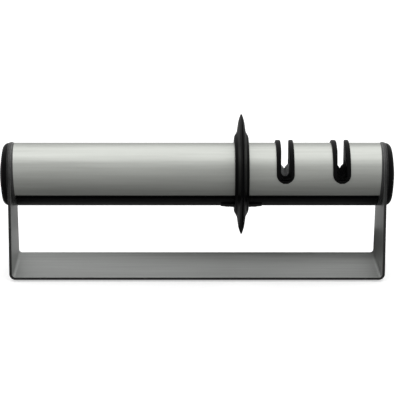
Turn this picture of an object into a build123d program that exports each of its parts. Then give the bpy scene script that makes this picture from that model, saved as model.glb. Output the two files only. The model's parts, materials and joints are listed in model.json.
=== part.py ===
from build123d import *
from math import acos, asin, atan2, cos, degrees, radians, sin, sqrt
import os

os.makedirs("parts", exist_ok=True)

# Whole object: X runs along the barrel, the head is at +X, Z is up, the feet stand on Z = 0
overall_length = 265
overrun = 60
snug = 0.05

# Base bracket: one bent steel strap with a round ear at each end
strap_width = 55
strap_thickness = 1.9
strap_bend = 2.2
strap_edge = 0.3
taper_rise = 5
ear_overhang = 0.5
axis_above_strap = 66.2
end_bore = 2.7
peg_radius = 1.5
peg_reach = 13

# Rubber feet under the strap
foot_radius = 6
foot_height = 1.2
foot_edge = 0.35
foot_end_inset = 18
foot_side_inset = 11.5

# Barrel: steel sleeve round a moulded chassis, with a moulded rail below
barrel_radius = 21.2
barrel_lean = 5.5
sleeve_wall = 0.8
sleeve_clearance = 0.3
sleeve_drop_share = 0.538
reveal_height = 2.1
reveal_depth = 0.85
chassis_wall = 2.1
rail_wall = 2.6
rail_edge = 0.3
rib_thickness = 2
web_thickness = 2

# End flanges: the rim between sleeve and ear is narrower at the top than at the rail
rim_top_width = 0.9
rim_rail_width = 2.4
flange_plate = 3
flange_boss_radius = 5.5
flange_boss_length = 9.4
lug_length = 3
lug_wall = 1.8
lug_reach_share = 0.75

# Fixing at each end: threaded insert, screw, steel ring and domed cap
insert_radius = 3.6
insert_length = 8
insert_groove = 0.35
insert_groove_width = 1
end_screw_radius = 2.45
end_screw_length = 10
end_head_radius = 5
end_head_height = 2.4
end_head_round = 0.6
hex_across = 3
hex_depth = 1.4
ring_overhang = 0.1
ring_thickness = 1
ring_bore = 9
ring_edge = 0.25
cap_setback = 0.2
cap_height = 5.6
cap_crown_share = 0.41
cap_rim_share = 0.57
cap_recess_radius = 10
cap_head_clearance = 1.2
peg_length = 4.6
peg_taper = 1

# Finger guard: a disc on a collar, with a thin saddle under the rail
guard_reach = 19.15
guard_tip_radius = 0.4
guard_collar_width = 9.5
guard_collar_height = 4.2
guard_shoulder_width = 5.8
guard_shoulder_height = 7.55
guard_brim_width = 3.3
guard_brim_inset = 4.2
guard_collar_round = 0.6
saddle_half_length = 13.7
saddle_root = 1.1
saddle_tip = 0.5
saddle_arc = 68

# Blade slots
liner_width = 11.8
liner_proud = 1.9
liner_floor = 2.85
liner_round = 0.7
blade_gap = 5.2
blade_floor = 0.3
gap_run_out = 2
front_mouth_width = 6.4
rear_mouth_width = 9.6

# Sharpening rollers: discs of two stacks interleave, and cross in a V under the blade
disc_radius = 6.5
disc_thickness = 1.3
disc_pitch = 3.4
disc_count = 3
disc_edge = 0.3
axle_offset_share = 0.923
crossing_share = 0.222
hub_radius = 3.4
hub_over = 1
axle_radius = 1.5
axle_end_round = 0.3
running_clearance = 0.05
end_float = 0.3
disc_clearance = 0.5

# Cartridges that carry the rollers
cartridge_side_wall = 4
cartridge_gap = 3.4
cartridge_depth_share = 0.8555
cartridge_end_wall = 1.6
cartridge_roof = 1.7
cartridge_corner = 1
notch_floor = 1.1
cover_thickness = 1.6
cover_screw_inset = 2
cover_screw_side_inset = 4.4
cover_screw_radius = 0.8
cover_screw_length = 6
cover_head_radius = 1.9
cover_head_depth = 1

# Screws that hold the rail and the guard
rail_screw_inset = 7.7
grip_screw_share = 0.52
rail_screw_setback = 9
guard_screw_spacing = 17.2
screw_radius = 1.45
screw_bore = 1.7
screw_grip = 8
screw_pilot_over = 1
screw_boss_radius = 2.8
pan_radius = 2.7
pan_height = 1.7
pan_bore = 2.95
pan_round = 0.5
rail_boss_radius = 4.2
pan_seat_inset = 5.6
cone_radius = 2.7
cone_depth = 1.3
cross_width = 0.6
cross_reach = 1.5
cross_depth = 0.7

# Places of the shapes inside the handle and the head
handle_rib_shares = (0.18, 0.35, 0.69, 0.83)
head_end_room = 11
bay_rib_thickness = 1
bay_clearance = 0.4
pad_thickness = 2
pad_spacing = 20
pad_width = 24

# Worked out from the sizes above
axis_height = foot_height + axis_above_strap
cap_crown = cap_crown_share * cap_height
cap_rim_round = cap_rim_share * cap_height
cap_base = overall_length / 2 - cap_height
strap_face = cap_base - ring_thickness
strap_span = 2 * strap_face
ear_face = strap_face - strap_thickness
axle_offset = axle_offset_share * disc_radius
cavity_half = axle_offset + disc_radius + disc_clearance
cartridge_length = 2 * (cavity_half + cartridge_side_wall)
fine_place = ear_face - head_end_room - cartridge_length / 2
coarse_place = fine_place - cartridge_length - cartridge_gap
slot_places = {"coarse": coarse_place, "fine": fine_place}
guard_screw_room = guard_screw_spacing / 2 + screw_boss_radius + bay_clearance
guard_place = coarse_place - cartridge_length / 2 - guard_screw_room
handle_length = ear_face + guard_place
rail_screw_end = ear_face - rail_screw_inset
rail_screw_places = (-rail_screw_end, grip_screw_share * handle_length - ear_face, rail_screw_end)
handle_rib_places = [share * handle_length - ear_face for share in handle_rib_shares]
bay_rib_place = ear_face - head_end_room + bay_clearance + bay_rib_thickness / 2
ear_radius = barrel_radius + ear_overhang
ring_radius = barrel_radius + ring_overhang
cap_radius = barrel_radius - cap_setback
sleeve_drop = sleeve_drop_share * barrel_radius
reveal_drop = sleeve_drop + reveal_height
pan_seat_drop = barrel_radius - pan_seat_inset
chassis_radius = barrel_radius - sleeve_wall - sleeve_clearance
chassis_inner = chassis_radius - chassis_wall
chassis_half = ear_face - flange_plate
lug_reach = lug_reach_share * chassis_inner
rail_inner = barrel_radius - rail_wall
liner_radius = barrel_radius + liner_proud
hub_half = (disc_count * disc_pitch + hub_over) / 2
cartridge_inner_half = hub_half + end_float
axle_half = cartridge_inner_half + cartridge_end_wall
cartridge_half_depth = cartridge_depth_share * chassis_inner
stack_forward = cartridge_half_depth - axle_half
crossing_height = crossing_share * barrel_radius
axle_height = crossing_height - sqrt(disc_radius**2 - axle_offset**2)
cavity_top = axle_height + disc_radius + disc_clearance
cartridge_top = cavity_top + cartridge_roof
cartridge_bottom = axle_height - disc_radius - disc_clearance
cover_bottom = cartridge_bottom - cover_thickness
channel_half = cartridge_half_depth + snug
cover_screw_pitch = cartridge_length - 2 * cover_screw_inset
cover_screw_spacing = 2 * (cartridge_half_depth - cover_screw_side_inset)
guard_bore = barrel_radius + snug
guard_collar_radius = guard_bore + guard_collar_height
guard_shoulder_radius = guard_bore + guard_shoulder_height
guard_radius = guard_bore + guard_reach
guard_brim_radius = guard_radius - guard_brim_inset
cap_recess_depth = end_head_height - ring_thickness + cap_head_clearance

# Planes of the leaning barrel: its own top view, its cross section and its front view
lean = radians(barrel_lean)
barrel = Plane(origin=(0, 0, axis_height), x_dir=(1, 0, 0), z_dir=(0, sin(lean), cos(lean)))
across = Plane(origin=barrel.origin, x_dir=barrel.y_dir, z_dir=barrel.x_dir)
front = Plane(origin=barrel.origin, x_dir=barrel.x_dir, z_dir=-barrel.y_dir)
beneath = Plane(origin=barrel.origin, x_dir=barrel.x_dir, z_dir=-barrel.z_dir)
stack_plane = front.offset(stack_forward)


def keep(piece, label):
    piece.part.label = label
    export_step(piece.part, f"parts/{label}.step")


def slot_outline(place, width, floor):
    # A slot seen from the front: straight sides, a round bottom, and open above
    with Locations((place, floor + width / 2)):
        Circle(width / 2)
        Rectangle(width, overrun, align=(Align.CENTER, Align.MIN))


def carve_gap(place, floor):
    # The blade's way: narrow over the rollers, wider towards the front and towards the back
    front_start = stack_forward + cartridge_inner_half
    rear_start = stack_forward - cartridge_inner_half - gap_run_out
    with BuildSketch(front.offset(rear_start - snug)) as throat:
        slot_outline(place, blade_gap, floor)
    extrude(throat.sketch, amount=front_start - rear_start + 2 * snug, mode=Mode.SUBTRACT)
    for start, end, width in (
        (front_start, liner_radius, front_mouth_width),
        (rear_start, -liner_radius, rear_mouth_width),
    ):
        with BuildSketch(front.offset(start)) as narrow_end:
            slot_outline(place, blade_gap, floor)
        with BuildSketch(front.offset(end)) as wide_end:
            slot_outline(place, width, floor)
        loft([narrow_end.sketch, wide_end.sketch], ruled=True, mode=Mode.SUBTRACT)


def cut_below(level):
    # Takes away what lies below a level of a cross section
    with Locations((0, level)):
        Rectangle(2 * overrun, overrun, align=(Align.CENTER, Align.MAX), mode=Mode.SUBTRACT)


def cut_above(level):
    # Takes away what lies above a level of a cross section
    with Locations((0, level)):
        Rectangle(2 * overrun, overrun, align=(Align.CENTER, Align.MIN), mode=Mode.SUBTRACT)


# Base bracket: bent in the front view, then cut to its tapering outline from the side
corner_rise = axis_above_strap - taper_rise
corner_reach = sqrt((strap_width / 2) ** 2 + corner_rise**2)
tangent_turn = atan2(-corner_rise, strap_width / 2) + acos(ear_radius / corner_reach)
tangent_side = ear_radius * cos(tangent_turn)
tangent_level = axis_height + ear_radius * sin(tangent_turn)
with BuildPart() as base_bracket:
    with BuildSketch(Plane.XZ):
        with Locations((0, foot_height)):
            RectangleRounded(
                strap_span,
                2 * axis_height,
                strap_bend + strap_thickness,
                align=(Align.CENTER, Align.MIN),
            )
        with Locations((0, foot_height + strap_thickness)):
            RectangleRounded(
                strap_span - 2 * strap_thickness,
                3 * axis_height,
                strap_bend,
                align=(Align.CENTER, Align.MIN),
                mode=Mode.SUBTRACT,
            )
    extrude(amount=strap_width / 2, both=True)
    with BuildSketch(Plane.YZ):
        with BuildLine():
            Polyline(
                (-strap_width / 2, foot_height),
                (strap_width / 2, foot_height),
                (strap_width / 2, foot_height + taper_rise),
                (tangent_side, tangent_level),
                (-tangent_side, tangent_level),
                (-strap_width / 2, foot_height + taper_rise),
                close=True,
            )
        make_face()
        with Locations((0, axis_height)):
            Circle(ear_radius)
    extrude(amount=strap_span, both=True, mode=Mode.INTERSECT)
    with BuildSketch(across):
        Circle(end_bore)
        with GridLocations(2 * peg_reach, 0, 2, 1):
            Circle(peg_radius + snug)
    extrude(amount=strap_span, both=True, mode=Mode.SUBTRACT)
    fillet(base_bracket.edges().group_by(SortBy.LENGTH)[-1], strap_edge)
keep(base_bracket, "base_bracket")

# Rubber feet
foot_side = strap_width / 2 - foot_side_inset
foot_end = strap_face - foot_end_inset
foot_places = {
    "foot_front_left": (-foot_end, -foot_side),
    "foot_front_right": (foot_end, -foot_side),
    "foot_rear_left": (-foot_end, foot_side),
    "foot_rear_right": (foot_end, foot_side),
}
for foot_name, foot_place in foot_places.items():
    with BuildPart() as foot:
        with BuildSketch():
            with Locations(foot_place):
                Circle(foot_radius)
        extrude(amount=foot_height)
        fillet(foot.edges().group_by(Axis.Z)[0], foot_edge)
    keep(foot, foot_name)

# The leaning faces where the sleeve ends and the flange rims begin
rim_slope = (rim_rail_width - rim_top_width) / (barrel_radius + sleeve_drop)
rim_axis_width = rim_top_width + rim_slope * barrel_radius


def rolled_section(outer, inner):
    # A ring section of the barrel in two halves, open below the sleeve's lower edges
    outer_turn = 90 + degrees(asin(sleeve_drop / outer))
    inner_turn = 90 + degrees(asin(sleeve_drop / inner))
    with BuildLine() as outline:
        outer_right = CenterArc((0, 0), outer, 90 - outer_turn, outer_turn)
        inner_right = CenterArc((0, 0), inner, 90 - inner_turn, inner_turn)
        outer_left = CenterArc((0, 0), outer, 90, outer_turn)
        inner_left = CenterArc((0, 0), inner, 90, inner_turn)
        Line(outer_right @ 0, inner_right @ 0)
        Line(outer_left @ 1, inner_left @ 1)
    make_face(outline.edges())


def rim_plane(side):
    # The rim's face at one end, pointing outwards
    place = barrel.from_local_coords(Vector(side * (ear_face - rim_axis_width), 0, 0))
    outwards = barrel.from_local_coords(Vector(side, 0, -rim_slope)) - barrel.origin
    return Plane(origin=place, z_dir=outwards)


# Steel sleeve
with BuildPart() as steel_sleeve:
    with BuildSketch(across):
        rolled_section(barrel_radius, barrel_radius - sleeve_wall)
    extrude(amount=ear_face, both=True)
    for side in (-1, 1):
        split(bisect_by=rim_plane(side).offset(-snug), keep=Keep.BOTTOM)
    with BuildSketch(front):
        for slot_place in slot_places.values():
            slot_outline(slot_place, liner_width + 2 * snug, -liner_floor - snug)
    extrude(amount=overrun, both=True, mode=Mode.SUBTRACT)
keep(steel_sleeve, "steel_sleeve")

# Chassis inside the sleeve: a shell open below, with ribs, a web and screw bosses
rail_screw_points = [(place, -rail_screw_setback) for place in rail_screw_places]
guard_screw_points = [
    (guard_place - guard_screw_spacing / 2, 0),
    (guard_place + guard_screw_spacing / 2, 0),
]
head_rib_place = sum(slot_places.values()) / len(slot_places)
rib_widths = {place: rib_thickness for place in (*handle_rib_places, head_rib_place)}
rib_widths[bay_rib_place] = bay_rib_thickness
with BuildPart() as chassis:
    with BuildSketch(across):
        rolled_section(chassis_radius, chassis_inner)
        with Locations((0, cartridge_top)):
            Rectangle(
                2 * channel_half, overrun, align=(Align.CENTER, Align.MAX), mode=Mode.SUBTRACT
            )
    extrude(amount=chassis_half, both=True)
    for rib_place, rib_width in rib_widths.items():
        with BuildSketch(across.offset(rib_place)):
            Circle(chassis_inner + snug)
            cut_below(-sleeve_drop)
        extrude(amount=rib_width / 2, both=True)
    with BuildSketch(across.offset(handle_rib_places[0])):
        with Locations((0, -sleeve_drop)):
            Rectangle(
                web_thickness,
                sleeve_drop + chassis_inner + snug,
                align=(Align.CENTER, Align.MIN),
            )
    extrude(amount=handle_rib_places[-1] - handle_rib_places[0])
    with BuildSketch(beneath.offset(sleeve_drop)):
        with Locations(rail_screw_points + guard_screw_points):
            Circle(screw_boss_radius)
    extrude(amount=-sleeve_drop - chassis_inner)
    with BuildSketch(across):
        Circle(chassis_radius)
    extrude(amount=chassis_half, both=True, mode=Mode.INTERSECT)
    with BuildSketch(beneath.offset(sleeve_drop)):
        with Locations(rail_screw_points + guard_screw_points):
            Circle(screw_radius + snug)
    extrude(amount=-screw_grip - screw_pilot_over, mode=Mode.SUBTRACT)
    with BuildSketch(front):
        for slot_place in slot_places.values():
            slot_outline(slot_place, liner_width + 2 * snug, -liner_floor - snug)
    extrude(amount=overrun, both=True, mode=Mode.SUBTRACT)
keep(chassis, "chassis")

# Bottom rail: a neck in the shadow gap under the sleeve, then the barrel's full radius
cone_rim = guard_bore + saddle_root + (saddle_tip - saddle_root) * (
    guard_screw_spacing - guard_collar_width
) / (2 * saddle_half_length - guard_collar_width)
with BuildPart() as bottom_rail:
    with BuildSketch(across) as rail_profile:
        Circle(barrel_radius)
        cut_above(-reveal_drop)
        rail_corners = rail_profile.vertices().group_by(Axis.Y)[-1]
        fillet(rail_corners, rail_edge)
        Circle(barrel_radius - reveal_depth)
        cut_above(-sleeve_drop)
        Circle(rail_inner, mode=Mode.SUBTRACT)
    extrude(amount=chassis_half, both=True)
    for slot_place in slot_places.values():
        for pad_place in (slot_place - pad_spacing / 2, slot_place + pad_spacing / 2):
            with BuildSketch(across.offset(pad_place)):
                Circle(rail_inner + snug)
                Rectangle(pad_width, 2 * overrun, mode=Mode.INTERSECT)
                cut_above(cover_bottom - snug)
            extrude(amount=pad_thickness / 2, both=True)
    with BuildSketch(beneath.offset(sleeve_drop)):
        with Locations(rail_screw_points + guard_screw_points):
            Circle(rail_boss_radius)
    extrude(amount=barrel_radius - sleeve_drop)
    with BuildSketch(across):
        Circle(barrel_radius)
    extrude(amount=chassis_half, both=True, mode=Mode.INTERSECT)
    with BuildSketch(beneath):
        with Locations(rail_screw_points + guard_screw_points):
            Circle(screw_bore)
    extrude(amount=overrun, mode=Mode.SUBTRACT)
    with BuildSketch(beneath.offset(pan_seat_drop)):
        with Locations(rail_screw_points):
            Circle(pan_bore)
    extrude(amount=overrun, mode=Mode.SUBTRACT)
    with Locations(beneath.offset(cone_rim)):
        with Locations(guard_screw_points):
            Cone(
                screw_bore,
                cone_radius + snug,
                cone_depth,
                align=(Align.CENTER, Align.CENTER, Align.MAX),
                mode=Mode.SUBTRACT,
            )
keep(bottom_rail, "bottom_rail")

# Finger guard: the disc is turned, the saddle is a short stretch of a second ring
guard_plane = Plane(
    origin=barrel.from_local_coords(Vector(guard_place, 0, 0)),
    x_dir=front.x_dir,
    z_dir=front.z_dir,
)
barrel_axis = Axis(barrel.origin, barrel.x_dir)
with BuildPart() as finger_guard:
    with BuildSketch(guard_plane) as guard_profile:
        with BuildLine():
            Polyline(
                (0, guard_bore),
                (guard_collar_width / 2, guard_bore),
                (guard_collar_width / 2, guard_collar_radius),
                (guard_shoulder_width / 2, guard_shoulder_radius),
                (guard_brim_width / 2, guard_brim_radius),
                (guard_tip_radius, guard_radius - guard_tip_radius),
                (0, guard_radius),
            )
            mirror(about=Plane.YZ)
        make_face()
        collar_level = (guard_collar_radius - snug, guard_collar_radius + snug)
        fillet(guard_profile.vertices().filter_by_position(Axis.Y, *collar_level), guard_collar_round)
    revolve(axis=barrel_axis)
    with BuildSketch(guard_plane.rotated((180 - saddle_arc / 2, 0, 0))):
        with BuildLine():
            Polyline(
                (0, guard_bore),
                (saddle_half_length, guard_bore),
                (saddle_half_length, guard_bore + saddle_tip),
                (guard_collar_width / 2, guard_bore + saddle_root),
                (0, guard_bore + saddle_root),
            )
            mirror(about=Plane.YZ)
        make_face()
    revolve(axis=barrel_axis, revolution_arc=saddle_arc)
    with BuildSketch(beneath):
        with Locations(guard_screw_points):
            Circle(screw_bore)
    extrude(amount=overrun, mode=Mode.SUBTRACT)
    with Locations(beneath.offset(cone_rim)):
        with Locations(guard_screw_points):
            Cone(
                screw_bore,
                cone_radius + snug,
                cone_depth,
                align=(Align.CENTER, Align.CENTER, Align.MAX),
                mode=Mode.SUBTRACT,
            )
keep(finger_guard, "finger_guard")

# Both ends: flange, threaded insert, ring, screw and domed cap, each turned about the barrel's axis
for side, side_name in ((-1, "left"), (1, "right")):
    ear_plane = Plane(
        origin=barrel.from_local_coords(Vector(side * ear_face, 0, 0)),
        x_dir=barrel.y_dir,
        z_dir=side * barrel.x_dir,
    )
    with BuildPart() as flange:
        with BuildSketch(ear_plane):
            Circle(barrel_radius)
        extrude(amount=-flange_plate)
        split(bisect_by=rim_plane(side), keep=Keep.TOP)
        with BuildSketch(ear_plane):
            Circle(chassis_radius)
        extrude(amount=snug - flange_plate)
        with BuildSketch(ear_plane):
            Circle(flange_boss_radius)
        extrude(amount=-flange_boss_length)
        with BuildSketch(ear_plane):
            Circle(chassis_inner - snug)
            Circle(chassis_inner - lug_wall, mode=Mode.SUBTRACT)
            Rectangle(2 * lug_reach, 2 * overrun, mode=Mode.SUBTRACT)
        extrude(amount=-flange_plate - lug_length)
        with BuildSketch(ear_plane):
            Circle(insert_radius)
        extrude(amount=-insert_length, mode=Mode.SUBTRACT)
        with BuildSketch(ear_plane):
            Circle(end_bore)
        extrude(amount=strap_thickness - end_screw_length - snug, mode=Mode.SUBTRACT)
        with BuildSketch(ear_plane):
            with GridLocations(2 * peg_reach, 0, 2, 1):
                Circle(peg_radius + snug)
        extrude(amount=strap_thickness + ring_thickness - peg_length - snug, mode=Mode.SUBTRACT)
    keep(flange, f"{side_name}_flange")

    with BuildPart() as insert:
        with BuildSketch(ear_plane):
            Circle(insert_radius)
            Circle(end_screw_radius, mode=Mode.SUBTRACT)
        extrude(amount=-insert_length)
        with BuildSketch(ear_plane.offset(-insert_length / 2)):
            Circle(insert_radius)
            Circle(insert_radius - insert_groove, mode=Mode.SUBTRACT)
        extrude(amount=insert_groove_width / 2, both=True, mode=Mode.SUBTRACT)
    keep(insert, f"{side_name}_insert")

    with BuildPart() as end_screw:
        with BuildSketch(ear_plane.offset(strap_thickness)):
            Circle(end_head_radius)
        extrude(amount=end_head_height)
        fillet(end_screw.edges().sort_by(Axis(barrel.origin, ear_plane.z_dir))[-1], end_head_round)
        with BuildSketch(ear_plane.offset(strap_thickness)):
            Circle(end_screw_radius)
        extrude(amount=-end_screw_length)
        with BuildSketch(ear_plane.offset(strap_thickness + end_head_height)):
            RegularPolygon(hex_across / 2, 6, major_radius=False)
        extrude(amount=-hex_depth, mode=Mode.SUBTRACT)
    keep(end_screw, f"{side_name}_end_screw")

    with BuildPart() as ring:
        with BuildSketch(ear_plane.offset(strap_thickness)):
            Circle(ring_radius)
            Circle(ring_bore, mode=Mode.SUBTRACT)
            with GridLocations(2 * peg_reach, 0, 2, 1):
                Circle(peg_radius + snug, mode=Mode.SUBTRACT)
        extrude(amount=ring_thickness)
        chamfer(ring.edges().group_by(SortBy.LENGTH)[-1], ring_edge)
    keep(ring, f"{side_name}_cap_ring")

    cap_plane = Plane(
        origin=barrel.from_local_coords(Vector(side * cap_base, 0, 0)),
        x_dir=barrel.z_dir,
        z_dir=barrel.y_dir if side > 0 else -barrel.y_dir,
    )
    with BuildPart() as cap:
        with BuildSketch(cap_plane) as cap_profile:
            with BuildLine():
                Line((0, 0), (cap_radius, 0))
                Line((cap_radius, 0), (cap_radius, cap_height - cap_crown))
                RadiusArc(
                    (cap_radius, cap_height - cap_crown),
                    (0, cap_height),
                    -(cap_radius**2 + cap_crown**2) / (2 * cap_crown),
                )
                Line((0, cap_height), (0, 0))
            make_face()
            fillet(cap_profile.vertices().group_by(Axis.X)[-1].sort_by(Axis.Y)[-1], cap_rim_round)
        revolve(axis=barrel_axis)
        with BuildSketch(ear_plane.offset(cap_base - ear_face)):
            Circle(cap_recess_radius)
        extrude(amount=cap_recess_depth, mode=Mode.SUBTRACT)
        with BuildSketch(ear_plane.offset(cap_base - ear_face)):
            with GridLocations(2 * peg_reach, 0, 2, 1):
                Circle(peg_radius)
        extrude(amount=-peg_length, taper=peg_taper)
    keep(cap, f"{side_name}_cap")

# Blade slots: each has a liner from above, and a cartridge with two roller stacks below it
for slot_name, slot_place in slot_places.items():
    with BuildPart() as liner:
        with BuildSketch(front):
            slot_outline(slot_place, liner_width, -liner_floor)
        extrude(amount=overrun, both=True)
        with BuildSketch(across):
            Circle(liner_radius)
        extrude(amount=strap_span, both=True, mode=Mode.INTERSECT)
        rim_face = liner.faces().filter_by(GeomType.CYLINDER).sort_by(SortBy.AREA)[-1]
        fillet(rim_face.edges(), liner_round)
        with BuildSketch(across):
            with Locations((0, cartridge_top + snug)):
                Rectangle(2 * channel_half, overrun, align=(Align.CENTER, Align.MAX))
        extrude(amount=strap_span, both=True, mode=Mode.SUBTRACT)
        carve_gap(slot_place, -blade_floor)
    keep(liner, f"{slot_name}_slot_liner")

    with BuildPart() as cartridge:
        with BuildSketch(barrel.offset(cartridge_bottom)):
            with Locations((slot_place, 0)):
                RectangleRounded(cartridge_length, 2 * cartridge_half_depth, cartridge_corner)
        extrude(amount=cartridge_top - cartridge_bottom)
        with BuildSketch(barrel.offset(cartridge_bottom)):
            with Locations((slot_place, -stack_forward)):
                Rectangle(2 * cavity_half, 2 * cartridge_inner_half)
        extrude(amount=cavity_top - cartridge_bottom, mode=Mode.SUBTRACT)
        carve_gap(slot_place, notch_floor)
        with BuildSketch(stack_plane):
            with Locations((slot_place, axle_height)):
                with GridLocations(2 * axle_offset, 0, 2, 1):
                    Circle(axle_radius + snug)
        extrude(amount=axle_half + snug, both=True, mode=Mode.SUBTRACT)
        with BuildSketch(barrel.offset(cartridge_bottom)):
            with Locations((slot_place, 0)):
                with GridLocations(cover_screw_pitch, cover_screw_spacing, 2, 2):
                    Circle(cover_screw_radius + snug)
        extrude(amount=cover_screw_length, mode=Mode.SUBTRACT)
    keep(cartridge, f"{slot_name}_cartridge")

    with BuildPart() as cover:
        with BuildSketch(barrel.offset(cover_bottom)):
            with Locations((slot_place, 0)):
                RectangleRounded(cartridge_length, 2 * cartridge_half_depth, cartridge_corner)
        extrude(amount=cover_thickness)
        with Locations(beneath.offset(-cover_bottom)):
            with Locations((slot_place, 0)):
                with GridLocations(cover_screw_pitch, cover_screw_spacing, 2, 2):
                    CounterSinkHole(cover_screw_radius + 2 * snug, cover_head_radius + 2 * snug)
    keep(cover, f"{slot_name}_cover")

    with BuildPart() as cover_screws:
        with Locations(beneath.offset(-cover_bottom)):
            with Locations((slot_place, 0)):
                with GridLocations(cover_screw_pitch, cover_screw_spacing, 2, 2):
                    Cone(
                        cover_screw_radius,
                        cover_head_radius,
                        cover_head_depth,
                        align=(Align.CENTER, Align.CENTER, Align.MAX),
                    )
                    Cylinder(
                        cover_screw_radius,
                        cover_screw_length,
                        align=(Align.CENTER, Align.CENTER, Align.MAX),
                    )
    keep(cover_screws, f"{slot_name}_cover_screws")

    for stack_side, stack_name in ((-1, "left"), (1, "right")):
        axle_point = (slot_place + stack_side * axle_offset, axle_height)
        with BuildPart() as axle:
            with BuildSketch(stack_plane):
                with Locations(axle_point):
                    Circle(axle_radius)
            extrude(amount=axle_half, both=True)
            chamfer(axle.edges().filter_by(GeomType.CIRCLE), axle_end_round)
        keep(axle, f"{slot_name}_{stack_name}_axle")

        with BuildPart() as roller:
            with BuildSketch(stack_plane):
                with Locations(axle_point):
                    Circle(hub_radius)
            extrude(amount=hub_half, both=True)
            for disc_number in range(disc_count):
                disc_place = (disc_number - (disc_count - 1) / 2 + stack_side / 4) * disc_pitch
                with BuildSketch(stack_plane.offset(disc_place)):
                    with Locations(axle_point):
                        Circle(disc_radius)
                extrude(amount=disc_thickness / 2, both=True)
            chamfer(roller.edges().group_by(SortBy.LENGTH)[-1], disc_edge)
            with BuildSketch(stack_plane):
                with Locations(axle_point):
                    Circle(axle_radius + running_clearance)
            extrude(amount=overrun, both=True, mode=Mode.SUBTRACT)
        keep(roller, f"{slot_name}_{stack_name}_roller")

# Screws from below: pan heads in the rail, cone heads in the guard's saddle
with BuildPart() as rail_screws:
    with Locations(beneath.offset(pan_seat_drop)):
        with Locations(rail_screw_points):
            Cylinder(pan_radius, pan_height, align=(Align.CENTER, Align.CENTER, Align.MIN))
            Cylinder(
                screw_radius,
                pan_seat_drop - sleeve_drop + screw_grip,
                align=(Align.CENTER, Align.CENTER, Align.MAX),
            )
    down = Axis(beneath.origin, beneath.z_dir)
    fillet(rail_screws.edges().filter_by(GeomType.CIRCLE).group_by(down)[-1], pan_round)
    with Locations(beneath.offset(pan_seat_drop + pan_height)):
        with Locations(rail_screw_points):
            Box(
                cross_width,
                2 * cross_reach,
                cross_depth,
                align=(Align.CENTER, Align.CENTER, Align.MAX),
                mode=Mode.SUBTRACT,
            )
            Box(
                2 * cross_reach,
                cross_width,
                cross_depth,
                align=(Align.CENTER, Align.CENTER, Align.MAX),
                mode=Mode.SUBTRACT,
            )
keep(rail_screws, "rail_screws")

with BuildPart() as guard_screws:
    with Locations(beneath.offset(cone_rim)):
        with Locations(guard_screw_points):
            Cone(
                screw_radius,
                cone_radius,
                cone_depth,
                align=(Align.CENTER, Align.CENTER, Align.MAX),
            )
            Cylinder(
                screw_radius,
                cone_rim - sleeve_drop + screw_grip,
                align=(Align.CENTER, Align.CENTER, Align.MAX),
            )
            Box(
                cross_width,
                2 * cross_reach,
                cross_depth,
                align=(Align.CENTER, Align.CENTER, Align.MAX),
                mode=Mode.SUBTRACT,
            )
            Box(
                2 * cross_reach,
                cross_width,
                cross_depth,
                align=(Align.CENTER, Align.CENTER, Align.MAX),
                mode=Mode.SUBTRACT,
            )
keep(guard_screws, "guard_screws")
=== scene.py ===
import json
import math

import bmesh
import bpy
from mathutils import Matrix, Vector


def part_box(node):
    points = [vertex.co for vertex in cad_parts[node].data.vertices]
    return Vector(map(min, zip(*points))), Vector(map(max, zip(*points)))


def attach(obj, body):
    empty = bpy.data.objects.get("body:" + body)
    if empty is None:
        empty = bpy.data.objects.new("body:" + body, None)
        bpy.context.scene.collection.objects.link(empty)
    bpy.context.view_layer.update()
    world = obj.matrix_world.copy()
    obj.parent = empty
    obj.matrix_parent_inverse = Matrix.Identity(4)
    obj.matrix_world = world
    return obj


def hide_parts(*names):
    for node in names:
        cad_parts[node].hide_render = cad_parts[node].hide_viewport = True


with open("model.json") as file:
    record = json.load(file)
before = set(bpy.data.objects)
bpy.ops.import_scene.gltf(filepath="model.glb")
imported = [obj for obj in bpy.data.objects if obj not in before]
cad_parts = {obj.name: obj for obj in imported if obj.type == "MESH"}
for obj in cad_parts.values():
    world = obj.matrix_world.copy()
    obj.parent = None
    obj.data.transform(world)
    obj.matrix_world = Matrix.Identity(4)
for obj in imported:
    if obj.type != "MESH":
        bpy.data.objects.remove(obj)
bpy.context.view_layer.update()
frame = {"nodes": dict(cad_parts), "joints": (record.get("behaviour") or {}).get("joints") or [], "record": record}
nodes = frame["nodes"]
standBody = "stand_and_barrel"
mm = 0.001
print("frame loaded:", len(nodes), "nodes")


def addThing(name, data):
    thing = bpy.data.objects.new(name, data)
    bpy.context.scene.collection.objects.link(thing)
    return thing


def toMesh(name, shape):
    mesh = bpy.data.meshes.new(name)
    shape.to_mesh(mesh)
    shape.free()
    return mesh


# camera: fitted to the photo's frame, long lens, a little above the barrel
camera = {
    "place": (-0.01364, -1.10785, 0.37073),
    "pitchDown": 16.188,
    "lens": 153.06,
    "shiftX": 0.0581,
    "farEnd": 30,
}


def makeCamera():
    data = bpy.data.cameras.new("photoCamera")
    data.lens = camera["lens"]
    data.shift_x = camera["shiftX"]
    data.clip_end = camera["farEnd"]
    viewer = addThing("photoCamera", data)
    viewer.location = camera["place"]
    viewer.rotation_euler = (math.radians(90 - camera["pitchDown"]), 0, 0)
    bpy.context.scene.camera = viewer


makeCamera()
print("camera placed")


# shader recipes: numbers are worked out in plain expressions, every other node is one node() call
class Signal:
    def __init__(self, recipe, socket):
        self.recipe = recipe
        self.socket = socket

    def calculate(self, operation, first, second):
        return self.recipe.node("ShaderNodeMath", {"operation": operation}, {0: first, 1: second})

    def __add__(self, other):
        return self.calculate("ADD", self, other)

    def __radd__(self, other):
        return self.calculate("ADD", other, self)

    def __sub__(self, other):
        return self.calculate("SUBTRACT", self, other)

    def __rsub__(self, other):
        return self.calculate("SUBTRACT", other, self)

    def __mul__(self, other):
        return self.calculate("MULTIPLY", self, other)

    def __rmul__(self, other):
        return self.calculate("MULTIPLY", other, self)

    def __abs__(self):
        return self.calculate("ABSOLUTE", self, 0)

    def orMore(self, other):
        return self.calculate("MAXIMUM", self, other)


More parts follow.
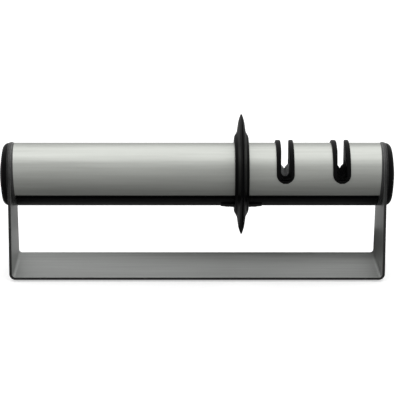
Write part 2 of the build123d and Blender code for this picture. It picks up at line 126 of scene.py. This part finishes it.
class Recipe:
    def __init__(self, owner, shaderName="Principled BSDF"):
        owner.use_nodes = True
        self.owner = owner
        self.tree = owner.node_tree
        self.shader = self.tree.nodes[shaderName]

    def node(self, kind, settings=None, inputs=None, output=0):
        made = self.tree.nodes.new(kind)
        for key, value in (settings or {}).items():
            setattr(made, key, value)
        for key, value in (inputs or {}).items():
            self.feed(made.inputs[key], value)
        return Signal(self, made.outputs[output])

    def feed(self, socket, value):
        if isinstance(value, Signal):
            self.tree.links.new(value.socket, socket)
        else:
            socket.default_value = value

    def set(self, **sockets):
        for key, value in sockets.items():
            self.feed(self.shader.inputs[key.replace("_", " ")], value)
        return self.owner


# a new material, and the places on the piece that its pattern follows
def newFinish(name, uvMap=""):
    recipe = Recipe(bpy.data.materials.new(name))
    if uvMap:
        return recipe, recipe.node("ShaderNodeUVMap", {"uv_map": uvMap})
    return recipe, recipe.node("ShaderNodeTexCoord", output="Object")


# streaks are given by a stretch, a scale and a detail, a bump by a strength and a depth
streakRoughness = 0.6


def streaks(recipe, place, stretch, scale, detail):
    stretched = recipe.node(
        "ShaderNodeMapping", {"vector_type": "POINT"}, {"Vector": place, "Scale": stretch}
    )
    return recipe.node(
        "ShaderNodeTexNoise", {},
        {"Vector": stretched, "Scale": scale, "Detail": detail, "Roughness": streakRoughness}, "Fac",
    )


def blend(recipe, amount, first, second):
    return recipe.node(
        "ShaderNodeMix", {"data_type": "RGBA"}, {"Factor": amount, 6: (*first, 1), 7: (*second, 1)}, 2
    )


def bump(recipe, strength, depth, height):
    return recipe.node("ShaderNodeBump", {}, {"Strength": strength, "Distance": depth, "Height": height})


# brushed steel: long streaks along one axis, fine ones in the bump, broad ones in colour and gloss
steelGrain = {
    "fine": ((0.012, 1, 1), 4200.0, 2.0),
    "broad": ((0.03, 1, 1), 420.0, 4.0),
    "cloud": ((0.5, 1, 1), 26.0, 3.0),
    "broadGloss": 0.12,
    "cloudGloss": 0.05,
    "bump": (0.35, 0.04 * mm),
}
steelLooks = {
    "sleeve": {"shade": (0.45, 0.462, 0.436), "dark": (0.28, 0.287, 0.270), "rough": 0.41, "follows": ""},
    "strap": {"shade": (0.4, 0.41, 0.4), "dark": (0.22, 0.226, 0.22), "rough": 0.46, "follows": "grain"},
}


def brushedSteel(name):
    look = steelLooks[name]
    recipe, place = newFinish(name + "Steel", look["follows"])
    fine, broad, cloud = [streaks(recipe, place, *steelGrain[size]) for size in ("fine", "broad", "cloud")]
    uneven = steelGrain["broadGloss"] * (broad - 0.5) + steelGrain["cloudGloss"] * (cloud - 0.5)
    return recipe.set(
        Base_Color=blend(recipe, broad, look["dark"], look["shade"]),
        Metallic=1.0,
        Roughness=look["rough"] + uneven,
        Normal=bump(recipe, *steelGrain["bump"], fine),
    )


# moulded black plastic: fine leather-like mould grain, slightly uneven gloss
plasticGrain = {
    "fine": ((1, 1, 1), 2600.0, 2.0),
    "cloud": ((1, 1, 1), 60.0, 3.0),
    "cloudGloss": 0.12,
    "cloudLift": 1.5,
    "depth": 0.03 * mm,
}
plasticLooks = {
    "outer": {"shade": (0.0022, 0.0022, 0.0024), "rough": 0.36, "level": 0.04, "grain": 0.18},
    "guard": {"shade": (0.0016, 0.0016, 0.0018), "rough": 0.36, "level": 0.015, "grain": 0.18},
    "inner": {"shade": (0.005, 0.005, 0.0055), "rough": 0.55, "level": 0.1, "grain": 0.3},
    "flange": {"shade": (0.012, 0.012, 0.012), "rough": 0.35, "level": 0.45, "grain": 0.12},
}


def mouldedPlastic(name):
    look = plasticLooks[name]
    recipe, place = newFinish(name + "Plastic")
    grain = streaks(recipe, place, *plasticGrain["fine"])
    cloud = streaks(recipe, place, *plasticGrain["cloud"])
    lifted = [plasticGrain["cloudLift"] * part for part in look["shade"]]
    return recipe.set(
        Base_Color=blend(recipe, cloud, look["shade"], lifted),
        Roughness=look["rough"] + plasticGrain["cloudGloss"] * (cloud - 0.5),
        Specular_IOR_Level=look["level"],
        Normal=bump(recipe, look["grain"], plasticGrain["depth"], grain),
    )


# small metal parts, rubber feet and the strap's cut edge, whose near-black colour is painted shade: one mottle in
# colour, gloss and bump
plainMetal = {"metal": 1.0, "level": 0.5, "mottle": ((1, 1, 1), 900.0, 4.0), "bump": (0.15, 0.03 * mm)}
mottledGloss = 0.2
mottledLooks = {
    "ringMetal": {**plainMetal, "shade": (0.035, 0.035, 0.035), "dark": (0.015, 0.015, 0.015), "rough": 0.3},
    "screwMetal": {**plainMetal, "shade": (0.62, 0.60, 0.55), "dark": (0.45, 0.43, 0.40), "rough": 0.3},
    "axleMetal": {**plainMetal, "shade": (0.6, 0.6, 0.6), "dark": (0.5, 0.5, 0.5), "rough": 0.2},
    "brassMetal": {**plainMetal, "shade": (0.75, 0.55, 0.25), "dark": (0.55, 0.38, 0.15), "rough": 0.32},
    # the strap's cut edge: its near-black colour is painted shade for the dark reflection the edges show
    "cutEdgePaintedShade": {
        "metal": 1.0, "level": 0.5, "mottle": ((1, 0.2, 0.2), 1800.0, 3.0), "bump": (0.4, 0.04 * mm),
        "shade": (0.07, 0.07, 0.07), "dark": (0.025, 0.025, 0.025), "rough": 0.4,
    },
    "footRubber": {
        "metal": 0.0, "level": 0.3, "mottle": ((1, 1, 1), 1500.0, 4.0), "bump": (0.4, 0.06 * mm),
        "shade": (0.03, 0.03, 0.03), "dark": (0.012, 0.012, 0.012), "rough": 0.7,
    },
}


def mottledFinish(name):
    look = mottledLooks[name]
    recipe, place = newFinish(name)
    mottle = streaks(recipe, place, *look["mottle"])
    return recipe.set(
        Base_Color=blend(recipe, mottle, look["dark"], look["shade"]),
        Metallic=look["metal"],
        Roughness=look["rough"] + mottledGloss * (mottle - 0.5),
        Specular_IOR_Level=look["level"],
        Normal=bump(recipe, *look["bump"], mottle),
    )


# abrasive discs: sharp sparkling grit on the coarse ones, dense and dark on the fine ones
gritBump = (0.7, 0.1 * mm)
gritGloss = 0.25
gritLooks = {
    "coarse": {
        "shade": (0.5, 0.51, 0.51), "dark": (0.12, 0.12, 0.12), "metal": 0.8, "rough": 0.45,
        "level": 0.5, "scale": 3000.0,
    },
    "fine": {
        "shade": (0.012, 0.012, 0.013), "dark": (0.004, 0.004, 0.005), "metal": 0.0, "rough": 0.6,
        "level": 0.1, "scale": 6000.0,
    },
}


def gritCoat(name):
    look = gritLooks[name]
    recipe, place = newFinish(name + "Grit")
    grit = recipe.node("ShaderNodeTexVoronoi", {}, {"Vector": place, "Scale": look["scale"]}, "Distance")
    return recipe.set(
        Base_Color=blend(recipe, grit, look["shade"], look["dark"]),
        Metallic=look["metal"],
        Roughness=look["rough"] + gritGloss * grit,
        Specular_IOR_Level=look["level"],
        Normal=bump(recipe, *gritBump, 1 - grit),
    )


finishes = {
    "sleeve_steel": brushedSteel("sleeve"),
    "strap_steel": brushedSteel("strap"),
    "ring_steel": mottledFinish("ringMetal"),
    "screw_steel": mottledFinish("screwMetal"),
    "axle_steel": mottledFinish("axleMetal"),
    "insert_brass": mottledFinish("brassMetal"),
    "foot_rubber": mottledFinish("footRubber"),
    "coarse_abrasive": gritCoat("coarse"),
    "fine_abrasive": gritCoat("fine"),
    "black_plastic": mouldedPlastic("outer"),
    "liner_plastic": mouldedPlastic("outer"),
    "inner_plastic": mouldedPlastic("inner"),
}
ownFinishes = {"finger_guard": mouldedPlastic("guard")}
ownFinishes["left_flange"] = ownFinishes["right_flange"] = mouldedPlastic("flange")


# a node's own finish, or else its slot's
def finishFor(node, slotName):
    return ownFinishes.get(node, finishes[slotName])


for subpart in frame["record"]["subparts"]:
    materials = nodes[subpart["node"]].data.materials
    materials.clear()
    materials.append(finishFor(subpart["node"], subpart["material_slot"]))
print("finishes on", len(nodes), "nodes")


def boxSize(node):
    low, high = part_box(node)
    return high - low


def boxCentre(node):
    low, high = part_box(node)
    return (low + high) / 2


# the barrel leans back, so its pieces are made upright round the X axis and then put in place
barrel = {
    "height": boxCentre("finger_guard").z,
    "lean": math.atan2(-frame["joints"][0]["axis"][2], frame["joints"][0]["axis"][1]),
    "radius": boxSize("steel_sleeve").y / 2,
    "earFace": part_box("right_flange")[1].x,
}
toBarrel = Matrix.Translation((0, 0, barrel["height"])) @ Matrix.Rotation(-barrel["lean"], 4, "X")
slotPlaces = {kind: boxCentre(kind + "_slot_liner").x for kind in ("coarse", "fine")}
weld = 0.002 * mm  # points closer than this are one
bevelFrom = 38  # edges that turn by more degrees than this are rounded


# a closed outline as one face, with the corners that have a rounding turned into arcs
def outlineFace(shape, points, roundings, segments):
    corners = [shape.verts.new(point) for point in points]
    shape.faces.new(corners)
    for corner, rounding in zip(corners, roundings):
        if rounding:
            bmesh.ops.bevel(
                shape, geom=[corner], offset=rounding, offset_type="OFFSET", affect="VERTICES",
                segments=segments, profile=0.5, material=-1,
            )


# an outline of (along the X axis, from the X axis) points, turned round that axis, fully or by an arc
def spunShape(points, roundings, steps, segments=1, arc=360, start=0):
    shape = bmesh.new()
    outlineFace(shape, [(along, 0, radius) for along, radius in points], roundings, segments)
    bmesh.ops.delete(shape, geom=shape.faces[:], context="FACES_ONLY")
    bmesh.ops.rotate(
        shape, verts=shape.verts[:], cent=(0, 0, 0), matrix=Matrix.Rotation(math.radians(start), 3, "X")
    )
    bmesh.ops.spin(
        shape, geom=shape.verts[:] + shape.edges[:], cent=(0, 0, 0), axis=(1, 0, 0),
        angle=math.radians(arc), steps=steps, use_merge=arc == 360,
    )
    if arc < 360:
        bmesh.ops.holes_fill(shape, edges=[edge for edge in shape.edges if edge.is_boundary], sides=0)
    return shape


def addPiece(name, shape, place, body, slotName, node, sharp=35):
    shape.transform(place)
    closeShape(shape)
    return addMesh(name, toMesh(name, shape), body, slotName, node, sharp)


def closeShape(shape):
    bmesh.ops.remove_doubles(shape, verts=shape.verts[:], dist=weld)
    bmesh.ops.delete(shape, geom=[edge for edge in shape.edges if edge.is_wire], context="EDGES")
    bmesh.ops.recalc_face_normals(shape, faces=shape.faces[:])


def addMesh(name, mesh, body, slotName, node, sharp=35):
    mesh.shade_smooth()
    mesh.set_sharp_from_angle(angle=math.radians(sharp))
    mesh.materials.append(finishFor(node, slotName))
    piece = addThing(name, mesh)
    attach(piece, body)
    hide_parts(node)
    return piece


def roundEdges(piece, width, segments=2, clamp=True):
    bevel = piece.modifiers.new("roundEdges", "BEVEL")
    bevel.use_clamp_overlap = clamp
    bevel.width = width
    bevel.segments = segments
    bevel.limit_method = "ANGLE"
    bevel.angle_limit = math.radians(bevelFrom)
    bevel.harden_normals = True


# joins tools to a shape, or cuts them out of it, in the order given, and gives the mesh that is left
def combine(name, shape, *changes):
    closeShape(shape)
    things = [addThing(name, toMesh(name, shape))]
    for operation, tool in changes:
        closeShape(tool)
        things.append(addThing(name, toMesh(name, tool)))
        change = things[0].modifiers.new(operation, "BOOLEAN")
        change.operation = operation
        change.solver = "EXACT"
        change.object = things[-1]
    result = bpy.data.meshes.new_from_object(things[0].evaluated_get(bpy.context.evaluated_depsgraph_get()))
    for thing in things:
        bpy.data.objects.remove(thing)
    return result


# steel sleeve: a rolled sheet, open below, its ends leaning, a U cut for each liner
sleeve = {
    "wall": 0.8 * mm,
    "drop": 11.4 * mm,
    "rimTop": 0.9 * mm,
    "rimRail": 2.4 * mm,
    "fit": 0.05 * mm,
    "slotFloor": -2.9 * mm,
    "slotTop": 48 * mm,
    "slotSteps": 24,
    "edge": 0.18 * mm,
    "steps": 150,
}


# a U shaped cutter across the barrel, its (depth, width) sections given from front to back
def slotTool(place, floor, sections):
    shape = bmesh.new()
    depth, width = sections[0]
    corners = [
        (place - width / 2, depth, sleeve["slotTop"]), (place - width / 2, depth, floor),
        (place + width / 2, depth, floor), (place + width / 2, depth, sleeve["slotTop"]),
    ]
    outlineFace(shape, corners, (0, width / 2, width / 2, 0), sleeve["slotSteps"])
    bmesh.ops.remove_doubles(shape, verts=shape.verts[:], dist=weld)
    end = shape.faces[:]
    for newDepth, newWidth in sections[1:]:
        made = bmesh.ops.extrude_face_region(shape, geom=end + [edge for face in end for edge in face.edges])
        end = [part for part in made["geom"] if isinstance(part, bmesh.types.BMFace)]
        moved = [part for part in made["geom"] if isinstance(part, bmesh.types.BMVert)]
        bmesh.ops.translate(shape, verts=moved, vec=(0, newDepth - depth, 0))
        grown = newWidth / width
        fixed = Matrix.Translation((-place, 0, -floor))
        bmesh.ops.scale(shape, verts=moved, vec=(grown, 1, grown), space=fixed)
        depth, width = newDepth, newWidth
    return shape


def makeSleeve():
    outer = barrel["radius"]
    inner = outer - sleeve["wall"]
    half = math.acos(-sleeve["drop"] / outer)
    slope = (sleeve["rimRail"] - sleeve["rimTop"]) / (outer + sleeve["drop"])
    topEnd = barrel["earFace"] - sleeve["rimTop"] - sleeve["fit"]
    shape = bmesh.new()
    points = ((-1, 0, inner), (1, 0, inner), (1, 0, outer), (-1, 0, outer))
    corners = [shape.verts.new(point) for point in points]
    loop = [shape.edges.new(pair) for pair in zip(corners, corners[1:] + corners[:1])]
    bmesh.ops.rotate(shape, verts=corners, cent=(0, 0, 0), matrix=Matrix.Rotation(-half, 3, "X"))
    bmesh.ops.spin(
        shape, geom=corners + loop, cent=(0, 0, 0), axis=(1, 0, 0), angle=2 * half, steps=sleeve["steps"],
        use_merge=False,
    )
    bmesh.ops.holes_fill(shape, edges=[edge for edge in shape.edges if edge.is_boundary], sides=4)
    for vert in shape.verts:
        vert.co.x *= topEnd - slope * (outer - vert.co.z)
    width = boxSize("coarse_slot_liner").x + 2 * sleeve["fit"]
    sections = ((-2 * outer, width), (2 * outer, width))
    cuts = [("DIFFERENCE", slotTool(place, sleeve["slotFloor"], sections)) for place in slotPlaces.values()]
    mesh = combine("barrelSleeve", shape, *cuts)
    mesh.transform(toBarrel)
    piece = addMesh("barrelSleeve", mesh, standBody, "sleeve_steel", "steel_sleeve")
    roundEdges(piece, sleeve["edge"])


makeSleeve()
print("sleeve rolled and slotted")


# strap: a flat blank with round ears, cut out, then folded up at both ends
strap = {
    "thickness": 1.9 * mm,
    "bend": 2.2 * mm,
    "earRadius": 21.7 * mm,
    "taperRise": 5 * mm,
    "edge": 0.3 * mm,
    "edgeSteps": 3,
    "earSteps": 48,
    "bendSteps": 10,
}


def makeStrap():
    low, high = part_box("base_bracket")
    halfSpan = high.x
    halfWidth = high.y
    outerBend = strap["bend"] + strap["thickness"]
    foldStart = halfSpan - outerBend
    foldLength = outerBend * math.pi / 2
    rise = foldStart + foldLength - outerBend
    earCentre = rise + barrel["height"] - low.z
    cornerPlace = rise + strap["taperRise"]
    # the uprights' tapered sides run from the corners to where they touch the ear's circle
    earRadius = strap["earRadius"]
    reach = math.hypot(halfWidth, earCentre - cornerPlace)
    turn = math.atan2(cornerPlace - earCentre, halfWidth) + math.acos(earRadius / reach)
    earStart = Vector((earCentre + earRadius * math.sin(turn), earRadius * math.cos(turn), 0))
    shape = bmesh.new()
    rim = []
    for side in (-1, 1):
        start = shape.verts.new(side * earStart)
        ear = bmesh.ops.spin(
            shape, geom=[start], cent=(side * earCentre, 0, 0), axis=(0, 0, -1), angle=math.pi - 2 * turn,
            steps=strap["earSteps"], use_merge=False,
        )
        end = [part for part in ear["geom_last"] if isinstance(part, bmesh.types.BMVert)]
        before = shape.verts.new((side * cornerPlace, side * halfWidth, 0))
        after = shape.verts.new((side * cornerPlace, -side * halfWidth, 0))
        rim += [before, start, *end, after]
    for first, second in ((0, 1), (2, 3), (3, 4), (4, 5), (6, 7), (7, 0)):
        shape.edges.new((rim[first], rim[second]))
    bmesh.ops.edgeloop_fill(shape, edges=shape.edges[:])
    made = bmesh.ops.extrude_face_region(shape, geom=shape.faces[:])
    moved = [part for part in made["geom"] if isinstance(part, bmesh.types.BMVert)]
    bmesh.ops.translate(shape, verts=moved, vec=(0, 0, strap["thickness"]))
    for face in shape.faces:  # the four-sided faces are the sheared edge
        face.material_index = 1 if len(face.verts) == 4 else 0
    for side in (-1, 1):
        for step in range(strap["bendSteps"] + 1):
            cut = foldStart + foldLength * step / strap["bendSteps"]
            geometry = shape.verts[:] + shape.edges[:] + shape.faces[:]
            bmesh.ops.bisect_plane(
                shape, geom=geometry, dist=weld / 2, plane_co=(side * cut, 0, 0), plane_no=(1, 0, 0)
            )
    grain = shape.loops.layers.uv.new("grain")
    for face in shape.faces:
        for loop in face.loops:
            loop[grain].uv = loop.vert.co.xy
    for vert in shape.verts:  # folded round each bend, the underside keeps its length
        side = math.copysign(1, vert.co.x)
        past = abs(vert.co.x) - foldStart
        layer = vert.co.z
        if past <= 0:
            vert.co.z = low.z + layer
            continue
        angle = min(past / outerBend, math.pi / 2)
        along = foldStart + (outerBend - layer) * math.sin(angle)
        height = outerBend - (outerBend - layer) * math.cos(angle) + max(0, past - foldLength)
        vert.co.x = side * along
        vert.co.z = low.z + height
    piece = addPiece("footStrap", shape, Matrix(), standBody, "strap_steel", "base_bracket")
    # the cut edge faces take a near-black finish, painted shade for their dark reflection
    piece.data.materials.append(mottledFinish("cutEdgePaintedShade"))
    roundEdges(piece, strap["edge"], strap["edgeSteps"])


makeStrap()
print("strap cut and folded")


# finger guard: a flared disc on a collar, joined to a thin saddle under the rail that two screws hold
# its outline is in millimetres, along the barrel from the middle and out from the axis
guard = {
    "bore": 21.25 * mm,
    "outline": ((4.75, 25.45), (2.85, 28.8), (1.75, 36.4), (0.4, 40.4)),
    "roundings": (0.6, 0.9, 1.2, 0.38),
    "steps": 160,
    "roundSteps": 8,
    "saddleReach": 13.7 * mm,
    "saddleRoot": 1.1 * mm,
    "saddleTip": 0.5 * mm,
    "saddleArc": 68,
    "saddleSteps": 40,
    "screwsApart": 17.2 * mm,
    "hole": 1.7 * mm,
    "holeDepth": 8 * mm,
    "holeSteps": 40,
    "sinkBase": -22.55 * mm,
    "countersink": 3.15 * mm,
    "countersinkDepth": 1.8 * mm,
}


def makeGuard():
    bore = guard["bore"]
    points = [(along * mm, radius * mm) for along, radius in guard["outline"]]
    mirrored = [(-along, radius) for along, radius in reversed(points)]
    collar = points[0][0]
    roundings = [rounding * mm for rounding in guard["roundings"]]
    outline = [(-collar, bore), (collar, bore)] + points + mirrored
    disc = spunShape(outline, [0, 0] + roundings + roundings[::-1], guard["steps"], guard["roundSteps"])
    reach = guard["saddleReach"]
    root = bore + guard["saddleRoot"]
    tip = bore + guard["saddleTip"]
    flare = [(-reach, bore), (reach, bore), (reach, tip), (collar, root), (-collar, root), (-reach, tip)]
    arc = guard["saddleArc"]
    saddle = spunShape(flare, [0] * len(flare), guard["saddleSteps"], arc=arc, start=180 - arc / 2)
    changes = [("UNION", saddle)]
    for wide, depth in (
        (guard["hole"], guard["holeDepth"]),
        (guard["countersink"], guard["countersinkDepth"]),
    ):
        holes = bmesh.new()
        for side in (-1, 1):
            place = Matrix.Translation((side * guard["screwsApart"] / 2, 0, guard["sinkBase"] + depth / 2))
            bmesh.ops.create_cone(
                holes, cap_ends=True, segments=guard["holeSteps"], radius1=wide, radius2=guard["hole"],
                depth=depth, matrix=place,
            )
        changes.append(("DIFFERENCE", holes))
    mesh = combine("fingerGuard", disc, *changes)
    mesh.transform(toBarrel @ Matrix.Translation((boxCentre("finger_guard").x, 0, 0)))
    addMesh("fingerGuard", mesh, standBody, "black_plastic", "finger_guard", sharp=50)


makeGuard()
print("guard turned")


# slot liners: a U shaped block in each slot, a little proud of the tube, the blade's way cut through it
# the way is in millimetres, its place from front to back and its width there
liner = {
    "proudRadius": 23.1 * mm,
    "floor": -2.85 * mm,
    "bladeFloor": -0.3 * mm,
    "bladeWay": ((-24, 6.5), (-13.8, 5.2), (0, 5.2), (24, 9.8)),
    "seatHalf": 15.45 * mm,
    "seatTop": 10.95 * mm,
    "edge": 0.75 * mm,
    "edgeSteps": 4,
    "steps": 160,
}


def makeLiners():
    for kind, place in slotPlaces.items():
        node = kind + "_slot_liner"
        proud = liner["proudRadius"]
        width = boxSize(node).x
        shape = slotTool(place, liner["floor"], ((-2 * proud, width), (2 * proud, width)))
        drum = bmesh.new()
        upright = Matrix.Translation((place, 0, 0)) @ Matrix.Rotation(math.radians(90), 4, "Y")
        bmesh.ops.create_cone(
            drum, cap_ends=True, segments=liner["steps"], radius1=proud, radius2=proud, depth=2 * width,
            matrix=upright,
        )
        seat = bmesh.new()
        middle = Matrix.Translation((place, 0, liner["seatTop"] - proud))
        size = Matrix.Diagonal((2 * width, 2 * liner["seatHalf"], 2 * proud, 1))
        bmesh.ops.create_cube(seat, size=1, matrix=middle @ size)
        sections = [(depth * mm, gap * mm) for depth, gap in liner["bladeWay"]]
        way = slotTool(place, liner["bladeFloor"], sections)
        changes = (("INTERSECT", drum), ("DIFFERENCE", seat), ("DIFFERENCE", way))
        mesh = combine(kind + "Liner", shape, *changes)
        mesh.transform(toBarrel)
        piece = addMesh(kind + "Liner", mesh, standBody, "liner_plastic", node)
        roundEdges(piece, liner["edge"], liner["edgeSteps"], clamp=False)


makeLiners()
print("liners cut")


# both ends, from inside out: a thin steel ring, and a domed cap that is hollow round the end screw
# outlines and roundings are in millimetres, out from the ear and out from the axis
ends = {
    "ring": ((0, 9.0), (0, 21.3), (1.0, 21.3), (1.0, 9.0)),
    "ringRoundings": (0.2, 0.25, 0.25, 0.2),
    "cap": ((0, 10.0), (0, 21.0), (3.0, 21.0), (4.2, 16.0), (5.6, 6.0), (5.6, 0), (2.6, 0), (2.6, 10.0)),
    "capRoundings": (0.2, 0.15, 3.2, 9.0, 6.0, 0, 0, 0),
    "steps": 144,
    "roundSteps": 10,
}


def makeEnds():
    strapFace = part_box("base_bracket")[1].x
    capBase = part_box("right_cap")[1].x - max(along for along, radius in ends["cap"]) * mm
    for side, sideName in ((-1, "left"), (1, "right")):
        for kind, base, slotName, node in (
            ("ring", strapFace, "ring_steel", sideName + "_cap_ring"),
            ("cap", capBase, "black_plastic", sideName + "_cap"),
        ):
            points = [(base + along * mm, radius * mm) for along, radius in ends[kind]]
            roundings = [rounding * mm for rounding in ends[kind + "Roundings"]]
            shape = spunShape(points, roundings, ends["steps"], ends["roundSteps"])
            place = toBarrel @ Matrix.Diagonal((side, 1, 1, 1))
            addPiece(sideName + kind.capitalize(), shape, place, standBody, slotName, node)


makeEnds()
print("rings and caps turned")


# rubber feet: short pads with a rounded lower edge and a grip groove
# the outline and its roundings are in millimetres, up from the worktop and out from the middle
foot = {
    "outline": ((1.2, 0), (1.2, 6.0), (0, 6.0), (0, 4.4), (0.45, 4.2), (0.45, 3.2), (0, 3.0), (0, 0)),
    "roundings": (0, 0.1, 0.4, 0.1, 0.1, 0.1, 0.1, 0),
    "steps": 64,
    "roundSteps": 4,
}


def makeFeet():
    upright = Matrix.Rotation(math.radians(-90), 4, "Y")
    for end in ("front", "rear"):
        for side in ("left", "right"):
            node = f"foot_{end}_{side}"
            centre = boxCentre(node)
            points = [(height * mm, radius * mm) for height, radius in foot["outline"]]
            roundings = [rounding * mm for rounding in foot["roundings"]]
            shape = spunShape(points, roundings, foot["steps"], foot["roundSteps"])
            place = Matrix.Translation((centre.x, centre.y, 0)) @ upright
            addPiece(f"{end}{side.capitalize()}Foot", shape, place, standBody, "foot_rubber", node)


makeFeet()
print("feet moulded")


# sharpening rollers: discs on a hub, with fine teeth round each coarse disc
roller = {
    "discRadius": 6.5 * mm,
    "hubRadius": 3.4 * mm,
    "bore": 1.55 * mm,
    "halfLength": 5.6 * mm,
    "discHalf": 0.65 * mm,
    "pitch": 3.4 * mm,
    "count": 3,
    "rimHalf": 0.3 * mm,
    "rimDrop": 0.45 * mm,
    "toothDepth": {"coarse": 0.3 * mm, "fine": 0.0},
    "steps": 96,
}


def makeRollers():
    forward = Matrix.Rotation(math.radians(90), 4, "Z")
    for joint in frame["joints"]:
        body = joint["child"]
        node = body + "_roller"
        kind, stackSide = body.split("_")
        shift = (-1 if stackSide == "left" else 1) * roller["pitch"] / 4
        points = [(-roller["halfLength"], roller["bore"]), (-roller["halfLength"], roller["hubRadius"])]
        for number in range(roller["count"]):
            place = (number - (roller["count"] - 1) / 2) * roller["pitch"] + shift
            for along, radius in (
                (-roller["discHalf"], roller["hubRadius"]),
                (-roller["discHalf"], roller["discRadius"] - roller["rimDrop"]),
                (-roller["rimHalf"], roller["discRadius"]),
                (roller["rimHalf"], roller["discRadius"]),
                (roller["discHalf"], roller["discRadius"] - roller["rimDrop"]),
                (roller["discHalf"], roller["hubRadius"]),
            ):
                points.append((place + along, radius))
        points += [(roller["halfLength"], roller["hubRadius"]), (roller["halfLength"], roller["bore"])]
        shape = spunShape(points, [0] * len(points), roller["steps"])
        depth = roller["toothDepth"][kind]
        for vert in shape.verts:  # every other point round a rim goes in by a tooth's depth
            radius = math.hypot(vert.co.y, vert.co.z)
            turn = round(math.atan2(vert.co.z, vert.co.y) / (2 * math.pi) * roller["steps"])
            if radius > roller["discRadius"] - roller["rimDrop"] / 2 and turn % 2:
                vert.co.yz *= 1 - depth / radius
        place = toBarrel @ Matrix.Translation(toBarrel.inverted() @ boxCentre(node)) @ forward
        name = kind + stackSide.capitalize() + "Roller"
        addPiece(name, shape, place, body, kind + "_abrasive", node, sharp=30)


makeRollers()
print("rollers ground")


# studio: pale floor, white surround, one wide soft box above, grey cards around, and a dark sheet behind the strap
# that paints shade into its reflection
studio = {
    "floorSize": 12.0,
    "floorShade": (0.78, 0.78, 0.78),
    "floorRough": 0.9,
    "floorLift": 0.5,
    "surroundLevel": 0.5,
    "box": {"place": (0.0, 0.25, 1.5), "aim": (0.0, 0.0, 0.05), "size": (3.0, 2.1), "watts": 22.0},
    # the table card's darker part near the object is painted shade, seen in reflections
    "tableCard": {
        "ends": ((0.0, 0.0004), (2.6, 0.0004)), "along": "Y", "bothWays": True, "from": (0.02, 0.2),
        "shades": (0.2, 0.5),
    },
    "wallCard": {
        "ends": ((2.6, 0.0004), (2.6, 2.0)), "along": "Z", "bothWays": False, "from": (0.0, 2.0),
        "shades": (0.62, 1.0),
    },
    # painted shade in the strap's reflection, lighter at the left, near black towards the right under the guard
    "rearPaintedShade": {
        "place": (0.0, 0.034, 0.0096), "size": (0.262, 0.018), "along": "X", "bothWays": False,
        "from": (-0.11, 0.02), "shades": (0.5, 0.02),
    },
    "cardSteps": 64,
}


def makeBox():
    box = studio["box"]
    data = bpy.data.lights.new("topBox", "AREA")
    data.shape = "RECTANGLE"
    data.size, data.size_y = box["size"]
    data.energy = box["watts"]
    lamp = addThing("topBox", data)
    lamp.location = box["place"]
    aim = Vector(box["aim"]) - Vector(box["place"])
    lamp.rotation_euler = aim.to_track_quat("-Z", "Y").to_euler()


# one level for what the camera, mirrors and glass see, and one for what lights the object
def seenLevel(recipe, seen, lit):
    toCamera, toMirror, toGlass = [
        recipe.node("ShaderNodeLightPath", output=ray)
        for ray in ("Is Camera Ray", "Is Glossy Ray", "Is Transmission Ray")
    ]
    return lit + (seen - lit) * toCamera.orMore(toMirror).orMore(toGlass)


def makeWorld():
    world = bpy.data.worlds.new("surround")
    bpy.context.scene.world = world
    recipe = Recipe(world, "Background")
    recipe.set(Color=(1, 1, 1, 1), Strength=seenLevel(recipe, 1.0, studio["surroundLevel"]))


def addStage(name, shape, material):
    thing = addThing(name, toMesh(name, shape))
    thing.data.materials.append(material)
    return thing


def makeFloor():
    shape = bmesh.new()
    bmesh.ops.create_grid(shape, x_segments=1, y_segments=1, size=studio["floorSize"] / 2)
    recipe = Recipe(bpy.data.materials.new("floorPaper"))
    paper = recipe.set(
        Base_Color=(*studio["floorShade"], 1),
        Roughness=studio["floorRough"],
        Specular_IOR_Level=0.0,
        Emission_Color=(1, 1, 1, 1),
        Emission_Strength=seenLevel(recipe, studio["floorLift"], 0.0),
    )
    addStage("floor", shape, paper)


# a sheet that only shine sees, its own light running from one grey to another along an axis
def hangSheet(name, shape):
    card = studio[name]
    recipe, place = newFinish(name)
    level = recipe.node("ShaderNodeSeparateXYZ", {}, {"Vector": place}, card["along"])
    if card["bothWays"]:
        level = abs(level)
    start, stop = card["from"]
    first, last = card["shades"]
    shade = recipe.node(
        "ShaderNodeMapRange", {},
        {"Value": level, "From Min": start, "From Max": stop, "To Min": first, "To Max": last},
    )
    glow = recipe.set(
        Base_Color=(0, 0, 0, 1), Specular_IOR_Level=0.0, Emission_Color=shade, Emission_Strength=1.0
    )
    sheet = addStage(name, shape, glow)
    sheet.visible_camera = False
    sheet.visible_diffuse = False
    sheet.visible_shadow = False


# grey cards all round: one flat on the table, darker near the object as painted shade for the object's shadow seen
# in reflections, and one as a low wall round it
def makeCards():
    for name in ("tableCard", "wallCard"):
        shape = bmesh.new()
        line = [shape.verts.new((away, 0, height)) for away, height in studio[name]["ends"]]
        bmesh.ops.spin(
            shape, geom=line + [shape.edges.new(line)], cent=(0, 0, 0), axis=(0, 0, 1),
            angle=2 * math.pi, steps=studio["cardSteps"], use_merge=True,
        )
        closeShape(shape)
        hangSheet(name, shape)


# painted shade: a dark sheet close behind the strap, seen only in reflections, darkening the strap's rear where
# the barrel and guard shade it
def makeRearPaintedShade():
    paintedShade = studio["rearPaintedShade"]
    shape = bmesh.new()
    bmesh.ops.create_grid(shape, x_segments=1, y_segments=1, size=0.5)
    place = Matrix.Translation(paintedShade["place"]) @ Matrix.Rotation(math.pi / 2, 4, "X")
    bmesh.ops.transform(shape, matrix=place @ Matrix.Diagonal((*paintedShade["size"], 1, 1)), verts=shape.verts)
    hangSheet("rearPaintedShade", shape)


makeBox()
makeWorld()
makeFloor()
makeCards()
makeRearPaintedShade()
bpy.context.scene.view_settings.view_transform = "Standard"
print("studio lit")
